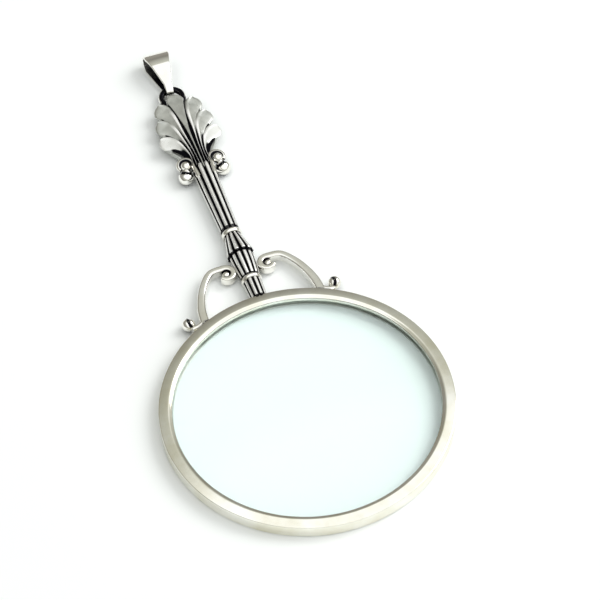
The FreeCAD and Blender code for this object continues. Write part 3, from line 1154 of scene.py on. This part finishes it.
@dataclass
class PalmetteLeaf:
    """The cast palmette with seven lobes over a dark ground."""

    reach: Tuple[float, ...] = (0.0, 2.3 * MM, 3.05 * MM, 3.45 * MM)
    place: Tuple[float, ...] = (1.0, 0.815, 0.61, 0.4)
    tip_r: Tuple[float, ...] = (1.35 * MM, 1.5 * MM, 1.5 * MM, 1.4 * MM)
    height: Tuple[float, ...] = (1.0, 0.85, 0.7, 0.55)
    root_steps: Tuple[float, ...] = (-1.0 * MM, -0.6 * MM, -0.15 * MM, 0.25 * MM)
    root_apart: float = 0.48 * MM
    root_half: float = 0.09 * MM
    rib_power: float = 2.1
    middle_power: float = 3.1
    swelling: float = 0.9
    ground_root_half: float = 0.306 * MM
    ground_power: float = 1.15
    ground_below: float = 0.34 * MM
    ground_rise: float = 0.1 * MM
    root_height: float = 0.6
    tip_drop: float = 0.3
    tip_sink: float = 0.16 * MM
    bend_reach: float = 0.22
    bend_place: float = 0.62
    least_height: float = 0.05 * MM
    back_narrowing: float = 0.97
    back_tone: float = 0.3
    across: int = 36
    along: int = 48
    tip_steps: int = 16

    def lobes(self) -> List[Lobe]:
        """Place the middle lobe and the three on the right.

        Returns:
            The lobes, from the middle outwards.
        """
        root, end = span("shaft")[1].y, span("palmette_leaf")[1].y
        out: List[Lobe] = []
        for rank, (x, share, r) in enumerate(zip(self.reach, self.place, self.tip_r)):
            y = min(root + share * (end - root), end - r)
            out.append(Lobe(rank, Vector((x, y, 0)), r, self.height[rank]))
        return out

    def line(self, lobe: Lobe, t: float) -> Tuple[Vector, Vector]:
        """Find a place on a lobe's centre line.

        Args:
            lobe: the lobe.
            t: share of the way from root to tip.

        Returns:
            The point and the unit direction.
        """
        root_y = span("shaft")[1].y + self.root_steps[lobe.rank]
        start = Vector((self.root_apart * lobe.rank, root_y, 0))
        bend_y = root_y + self.bend_place * (lobe.tip.y - root_y)
        bend = Vector((self.bend_reach * lobe.tip.x, bend_y, 0))
        point = start * (1 - t) ** 2 + bend * (2 * t * (1 - t)) + lobe.tip * t ** 2
        way = (bend - start) * (1 - t) + (lobe.tip - bend) * t
        return point, way.normalized()

    def half_width(self, lobe: Lobe, t: float, ground: bool) -> float:
        """Find half of a lobe's width: thin as a reed at the root, swelling towards the tip.

        Args:
            lobe: the lobe.
            t: share of the way from root to tip.
            ground: whether this is the dark ground under the ribs.

        Returns:
            The half width in metres.
        """
        if ground:
            spread = lobe.tip_r - self.ground_root_half
            return self.ground_root_half + spread * t ** self.ground_power
        power = self.middle_power if lobe.rank == 0 else self.rib_power
        fuller = 1 + self.swelling * smooth((t - 0.4) / 0.3) * (1 - t)
        return self.root_half + (lobe.tip_r - self.root_half) * fuller * t ** power

    def shell(self, lobe: Lobe, side: Side, ground: bool) -> Tuple[Shell, List[float]]:
        """Build one lobe as a closed surface.

        A side lobe has a steep, dark inner flank, a rib along its inner edge and a satin face
        that slopes away outwards. The middle lobe is even on both sides.

        Args:
            lobe: the lobe.
            side: which side it is on.
            ground: whether this is the dark ground under the ribs.

        Returns:
            Its points and faces, and how black each point is, or below 0 how much painted highlight
            it takes.
        """
        low, high = span("palmette_leaf")
        slices: List[Tuple[Vector, Vector, float, float, float]] = []
        for i in range(self.along + 1):
            t = i / self.along
            slices.append((*self.line(lobe, t), self.half_width(lobe, t, ground), t, 1.0))
        tip, way = self.line(lobe, 1.0)
        for i in range(1, self.tip_steps + 1):
            a = math.radians(89 * i / self.tip_steps)
            far = tip + way * lobe.tip_r * math.sin(a)
            slices.append((far, way, lobe.tip_r * math.cos(a), 1.0, math.cos(a)))
        rings: List[Ring] = []
        black: List[float] = []
        shares = [-1 + 2 * j / self.across for j in range(self.across + 1)]
        for point, way, half, t, fade in slices:
            across = Vector((way.y, -way.x, 0))
            crown = self.root_height + (1 - self.root_height) * lobe.height
            crown *= (high.z - low.z) * (1 - self.tip_drop * t)
            crown -= self.tip_sink * t
            if ground:
                crown -= self.ground_below - self.ground_rise * t
                half *= 0.985 - 0.12 * smooth((t - 0.72) / 0.2)
            ring: Ring = []
            for u in shares:
                height, tone = self.face(lobe.rank, u, t, fade, ground)
                p = point + across * (half * u)
                p.z = min(low.z + max(crown * height, self.least_height), high.z)
                ring.append(side.flip(p))
                black.append(tone)
            for u in reversed(shares):
                p = point + across * (half * self.back_narrowing * u)
                p.z = low.z
                ring.append(side.flip(p))
                black.append(self.back_tone)
            rings.append(ring)
        return skin(rings), black + [1.0, 0.2]

    def face(
        self, rank: int, u: float, t: float, fade: float, ground: bool
    ) -> Tuple[float, float]:
        """Find the relief across a lobe.

        Args:
            rank: which lobe.
            u: place across it, from -1 at the inner edge to 1 at the outer.
            t: share of the way from root to tip.
            fade: 1 along the lobe, falling to 0 round its tip.
            ground: whether this is the dark ground.

        Returns:
            Height share, and how black the place is, or below 0 how much painted highlight it
            takes.
        """
        # Every edge is rounded off, both at the sides and round the tip.
        fall = 0.2 * (1 - math.sqrt(max(1 - min(abs(u), 1.0) ** 6, 0.0)))
        fall += 0.16 * (1 - math.sqrt(max(1 - (1 - fade) ** 2, 0.0)))
        if ground:
            return 0.98 - fall, 1.0
        if rank == 0:
            dish = 0.07 * (1 - u * u) * smooth((t - 0.6) / 0.3)
            tone = smooth((abs(u) - 0.86) / 0.12) * smooth((1.02 - t) / 0.1)
            return 1.0 - fall - dish, tone * 0.9
        # The rib stands a little in from the inner edge, and nearer to it at the tip.
        rib = -0.64 + 0.3 * smooth((0.9 - t) / 0.4)
        if u < rib:
            height = 0.62 + 0.42 * smooth((u + 1.0) / (rib + 1.0))
        else:
            drop = 0.16 + 0.3 * smooth((t - 0.25) / 0.4)
            height = 1.04 - drop * ((u - rib) / (1 - rib)) ** 1.3
        height += 0.07 * math.exp(-(((u - rib - 0.1) / 0.2) ** 2))
        # Black lies on the flank, in the hollow beside the rib and along the outer edge.
        flank = smooth((rib - 0.1 - u) / 0.16) * fade
        hollow = smooth((u - rib - 0.24 - 0.45 * t) / 0.2) * smooth((0.68 - t) / 0.22)
        outer = smooth((u - 0.55 - 0.15 * t) / 0.15) * smooth((0.9 - t) / 0.16)
        tone = max(flank, hollow, outer)
        # Painted highlights lie along the ribs and on the outermost lobes' ends.
        white = smooth((0.28 - abs(u - rib - 0.08)) / 0.14) * smooth((1.0 - t) / 0.25)
        if rank == 3:
            white = max(white, 0.55 * smooth((t - 0.5) / 0.3))
        return height - fall - 0.12 * hollow, tone - white * (1 - tone)

    def build(self, satin: bpy.types.Material) -> None:
        """Build the leaf and dress its back plate.

        Args:
            satin: the material of both.
        """
        shells: List[Shell] = []
        black: List[float] = []
        for ground in (True, False):
            for lobe in self.lobes():
                for side in (Side.RIGHT, Side.LEFT)[: 1 if lobe.rank == 0 else 2]:
                    shell, tones = self.shell(lobe, side, ground)
                    shells.append(shell)
                    black += tones
        add_piece(
            "Leaf_palmette", joined(shells), satin, Slot.SATIN, "palmette_leaf", black, crisp=50
        )
        dress_node("leaf_back_plate", satin)


@dataclass
class RootCurl:
    """The outer reed's curl beside the leaf's root, with its eye bead and drop bead."""

    side: Side
    wire: float = 0.45 * MM
    bend: float = 1.1 * MM
    turn: float = 215.0
    tightening: float = 0.05
    sink: float = 0.12 * MM
    thinning: float = 0.3
    samples: int = 36
    dark_edge: float = 0.2 * MM
    drop_cut: Point = (-0.35, 0.75, 0.56)

    def build(self, silver: bpy.types.Material) -> None:
        """Build the curl and its two beads.

        Args:
            silver: the material of all three.
        """
        word, flip = self.side.word, self.side.flip
        low, high = span("volute_right")
        z = middle("volute_right").z
        out = self.wire + self.bend
        centre = Vector((high.x - out, high.y - out, z))
        left = centre.x - self.bend
        path = curve_through([
            Vector((left - 0.16 * MM, low.y + 0.1 * MM, z + 0.1 * MM)),
            Vector((left - 0.06 * MM, low.y + 1.4 * MM, z + 0.1 * MM)),
            Vector((left, centre.y, z)),
        ], 8)
        radii = [self.wire * 0.9] * len(path)
        for i in range(1, self.samples + 1):
            share = i / self.samples
            turn = math.radians(180 - self.turn * share)
            r = self.bend * (1 - self.tightening * share)
            x, y = math.cos(turn) * r, math.sin(turn) * r
            path.append(centre + Vector((x, y, -self.sink * share)))
            swell = 0.9 + 0.09 * math.sin(math.pi * min(share * 1.1, 1))
            radii.append(self.wire * swell * (1 - self.thinning * share ** 3))
        sections = [[(x, 0.98 * y) for x, y in arc(0, 0, r, 0, 342, 19)] for r in radii]
        curl = sweep([flip(p) for p in path], sections)
        # Painted shade darkens the inside of the curl, round its eye.
        hub, inner = flip(centre), self.bend - self.wire * 0.1
        black = [
            smooth((inner - math.hypot(p.x - hub.x, p.y - hub.y)) / self.dark_edge)
            for p in curl[0]
        ]
        add_piece("Curl_%s" % word, curl, silver, Slot.POLISHED, "volute_" + word, black)
        for kind, seed, shade_below, cut in (
            ("eye", 1.3, 0.05, None),
            ("drop", 8.4, -0.3, flip(Vector(self.drop_cut)).normalized()),
        ):
            node = "volute_%s_bead_" % kind
            BEAD.build(
                "Curl_%s_%s_bead" % (word, kind), node + word, flip(middle(node + "right")),
                half_size(node + "right"), silver, seed * self.side.value, shade_below, cut,
            )


# ---------------------------------------------------------------- hanging loop and bail
def on_circle(centre: Vector, r: float, angle: float) -> Vector:
    """A point on a circle that stands upright in the plane x = 0."""
    return centre + Vector((0, math.cos(angle), math.sin(angle))) * r


@dataclass
class Hanging:
    """The soldered wire loop and the folded bail that swings on it."""

    loop_around: int = 120
    wire_around: int = 28
    wire_unevenness: float = 0.03
    strap: float = 0.5 * MM
    strap_round: float = 0.14 * MM
    neck_half: float = 0.58 * MM
    soft_fold: float = 1.5 * MM
    fold_steps: int = 32
    eye_steps: int = 20
    side_steps: int = 24

    def loop(self, silver: bpy.types.Material) -> None:
        """Build the loop: round wire, with painted shade inside and towards the leaf where it is
        soldered, and a painted dark reflection along its top and bottom.

        Args:
            silver: its material.
        """
        half, centre = half_size("hanging_loop"), middle("hanging_loop")
        rings: List[Ring] = []
        black: List[float] = []
        for i in range(self.loop_around):
            turn = 2 * math.pi * i / self.loop_around
            way = Vector((math.cos(turn), math.sin(turn), 0))
            # Painted shade darkens the side towards the leaf, where the loop is soldered.
            soldered = smooth((-way.y - 0.1) / 0.5)
            ring: Ring = []
            for j in range(self.wire_around):
                a = 2 * math.pi * j / self.wire_around
                out = math.cos(a)
                lump = abs(noise.noise(Vector((way.x * 2, way.y * 2, a))))
                r = half.z * (1 - self.wire_unevenness * lump)
                ring.append(centre + way * (half.x - half.z + r * out) + UP * (r * math.sin(a)))
                # Painted shade inside the loop, and a painted dark reflection along the wire's top
                # and bottom.
                inside = smooth((-out - 0.35) / 0.5) * 0.9
                flank = smooth((0.75 - abs(out)) / 0.3) * 0.85
                black.append(max(inside, soldered, flank))
            rings.append(ring)
        shell = skin(rings, closed_path=True)
        add_piece("Hanging_loop_wire", shell, silver, Slot.POLISHED, "hanging_loop", black)

    def bail_line(self, near: Vector, far: Vector) -> List[Vector]:
        """Trace the middle of the strap round the loop's wire and the far fold.

        Args:
            near: centre of the bend round the wire.
            far: centre of the far fold.

        Returns:
            The points of a closed line, from the far fold's lower end.
        """
        near_r, far_r, run = near.z, far.z, far - near
        lean = math.atan2(run.z, run.y)
        spread = math.acos((near_r - far_r) / run.length)
        up, down = lean + spread, lean - spread
        near_r, far_r = near_r - self.strap / 2, far_r - self.strap / 2
        path: List[Vector] = []
        for i in range(self.fold_steps + 1):
            angle = down + (up - down) * i / self.fold_steps
            point = on_circle(far, far_r, angle)
            # The fold is softer above than a true circle, as a strap bent by hand is.
            if angle > 0:
                point.y -= self.soft_fold * (1 - math.cos(angle))
            path.append(point)
        top_far, top_near = path[-1].copy(), on_circle(near, near_r, up)
        shares = [i / self.side_steps for i in range(1, self.side_steps)]
        path += [top_far.lerp(top_near, share) for share in shares]
        step = (2 * math.pi - (up - down)) / self.eye_steps
        path += [on_circle(near, near_r, up + step * i) for i in range(self.eye_steps + 1)]
        low_near, low_far = on_circle(near, near_r, down), on_circle(far, far_r, down)
        return path + [low_near.lerp(low_far, share) for share in shares]

    def bail(self, silver: bpy.types.Material) -> None:
        """Build the bail: a tapered strap folded to a drop-shaped loop, with painted shade inside.

        Args:
            silver: its material.
        """
        low, high = span("bail")
        near_r, far_r = middle("hanging_loop").z, half_size("bail").z
        near = Vector((0, low.y + near_r, near_r))
        far = Vector((0, high.y - far_r, far_r))
        path = self.bail_line(near, far)
        shoulder, hub, half_t = span("hanging_loop")[1].y, (near + far) / 2, self.strap / 2
        rings: List[Ring] = []
        black: List[float] = []
        for i, point in enumerate(path):
            along = (path[(i + 1) % len(path)] - path[i - 1]).normalized()
            out = Vector((1, 0, 0)).cross(along).normalized()
            if out.dot(point - hub) < 0:
                out = -out
            share = min(max((point.y - shoulder) / (far.y - shoulder), 0.0), 1.0)
            half = self.neck_half + (half_size("bail").x - self.neck_half) * share
            # Painted shade darkens the strap's inner face, more towards the neck.
            depth = 0.55 + 0.45 * smooth(1 - share * 1.2)
            outline = rounded_section(half, half_t, self.strap_round, 4)
            rings.append([point + Vector((a, 0, 0)) + out * b for a, b in outline])
            black += [smooth((-b / half_t - 0.3) / 0.5) * depth for _, b in outline]
        add_piece(
            "Bail_strap", skin(rings, closed_path=True), silver, Slot.POLISHED, "bail", black,
            crisp=50, body=SWINGING_BODY,
        )


# ---------------------------------------------------------------- studio
@dataclass
class Studio:
    """White sweep, soft light from one side and the camera, in a light tent."""

    elevation: float = 51.72
    turn: float = -17.0
    roll: float = -2.8
    distance: float = 20.104
    aside: float = 0.048
    above: float = -0.6926
    lens_mm: float = 180.0
    sensor_mm: float = 36.0
    card_half: float = 1.5
    lamp_place: Point = (0.54, 0.04, 0.5)
    lamp_side: float = 0.42
    lamp_watts: float = 2.4
    tent_top: Point = (0.25, -0.35, 0.9)
    tent_strength: float = 1.2
    tent_tones: Tuple[Tuple[float, str], ...] = (
        (0.0, "#8E8C86"), (0.22, "#7E7D77"), (0.4, "#A5A69F"), (0.56, "#BBBCB3"), (0.65, "#FBFDFD"),
    )

    def camera(self) -> None:
        """Set the camera by its angles, and its distance from the rim's top in rim radii."""
        radius = half_size("rim").x
        target = middle("rim")
        target.z = span("rim")[1].z
        phi, rho, psi = (math.radians(v) for v in (self.elevation, self.roll, self.turn))
        spin = Matrix.Rotation(psi, 3, "Z")
        forward = spin @ Vector((0, math.cos(phi), -math.sin(phi)))
        right = spin @ Vector((1, 0, 0))
        up = spin @ Vector((0, math.sin(phi), math.cos(phi)))
        level = right * math.cos(rho) + up * math.sin(rho)
        upright = up * math.cos(rho) - right * math.sin(rho)
        offset = level * self.aside + upright * self.above + forward * self.distance
        data = bpy.data.cameras.new("Camera")
        data.lens = self.lens_mm
        data.sensor_width = self.sensor_mm
        data.clip_start = 0.01
        data.clip_end = 20.0
        eye = bpy.data.objects.new("Camera", data)
        bpy.context.scene.collection.objects.link(eye)
        facing = Matrix((level, upright, -forward)).transposed().to_4x4()
        eye.matrix_world = Matrix.Translation(target - offset * radius) @ facing
        bpy.context.scene.camera = eye

    def card(self) -> None:
        """Lay the white card under the piece."""
        corners = ((-1, -1), (1, -1), (1, 1), (-1, 1))
        points = [Vector((x, y, 0)) * self.card_half for x, y in corners]
        card = new_mesh("Studio_card", (points, [[0, 1, 2, 3]]), CARD.material())

    def softbox(self) -> None:
        """Hang one soft square light that points at the piece."""
        data = bpy.data.lights.new("Overhead_softbox", "AREA")
        data.shape = "RECTANGLE"
        data.size = data.size_y = self.lamp_side
        data.energy = self.lamp_watts
        lamp = bpy.data.objects.new("Overhead_softbox", data)
        bpy.context.scene.collection.objects.link(lamp)
        lamp.location = self.lamp_place
        lamp.rotation_euler = (-Vector(self.lamp_place)).to_track_quat("-Z", "Y").to_euler()

    def tent(self) -> None:
        """Surround it all with a tent: white overhead, leaning to the front right, then grey."""
        world = bpy.data.worlds.new("Tent")
        world.use_nodes = True
        tree = world.node_tree
        tree.nodes.clear()
        way = add_node(tree, "ShaderNodeTexCoord").outputs["Generated"]
        toward = add_node(
            tree, "ShaderNodeVectorMath", {"0": way}, {"1": self.tent_top}, operation="DOT_PRODUCT"
        ).outputs["Value"]
        tone = add_node(
            tree, "ShaderNodeValToRGB", {"Fac": toward}, stops=self.tent_tones
        ).outputs["Color"]
        glow = add_node(
            tree, "ShaderNodeBackground", {"Color": tone}, {"Strength": self.tent_strength}
        )
        add_node(tree, "ShaderNodeOutputWorld", {"Surface": glow.outputs[0]})
        bpy.context.scene.world = world

    def build(self) -> None:
        """Set up everything around the piece."""
        self.camera()
        self.card()
        self.tent()
        self.softbox()
        bpy.context.scene.view_settings.view_transform = "Standard"
        bpy.context.scene.view_settings.look = "None"


def main() -> None:
    """Build the magnifying glass and its studio, and report each piece."""
    logging.basicConfig(level=logging.INFO, format="%(name)s %(message)s")
    mirror, reeded, satin, toned, glass = (
        finish.material()
        for finish in (MIRROR_SILVER, REED_SILVER, SATIN_SILVER, TONED_SILVER, GLASS)
    )
    Studio().build()
    LensAssembly().build(toned, satin, glass)
    ReededStem().build(reeded, mirror)
    for side in Side:
        ScrollBracket(side).build(mirror)
    PalmetteLeaf().build(satin)
    for side in Side:
        RootCurl(side).build(mirror)
    hanging = Hanging()
    hanging.loop(mirror)
    hanging.bail(mirror)


if __name__ == "__main__":
    main()
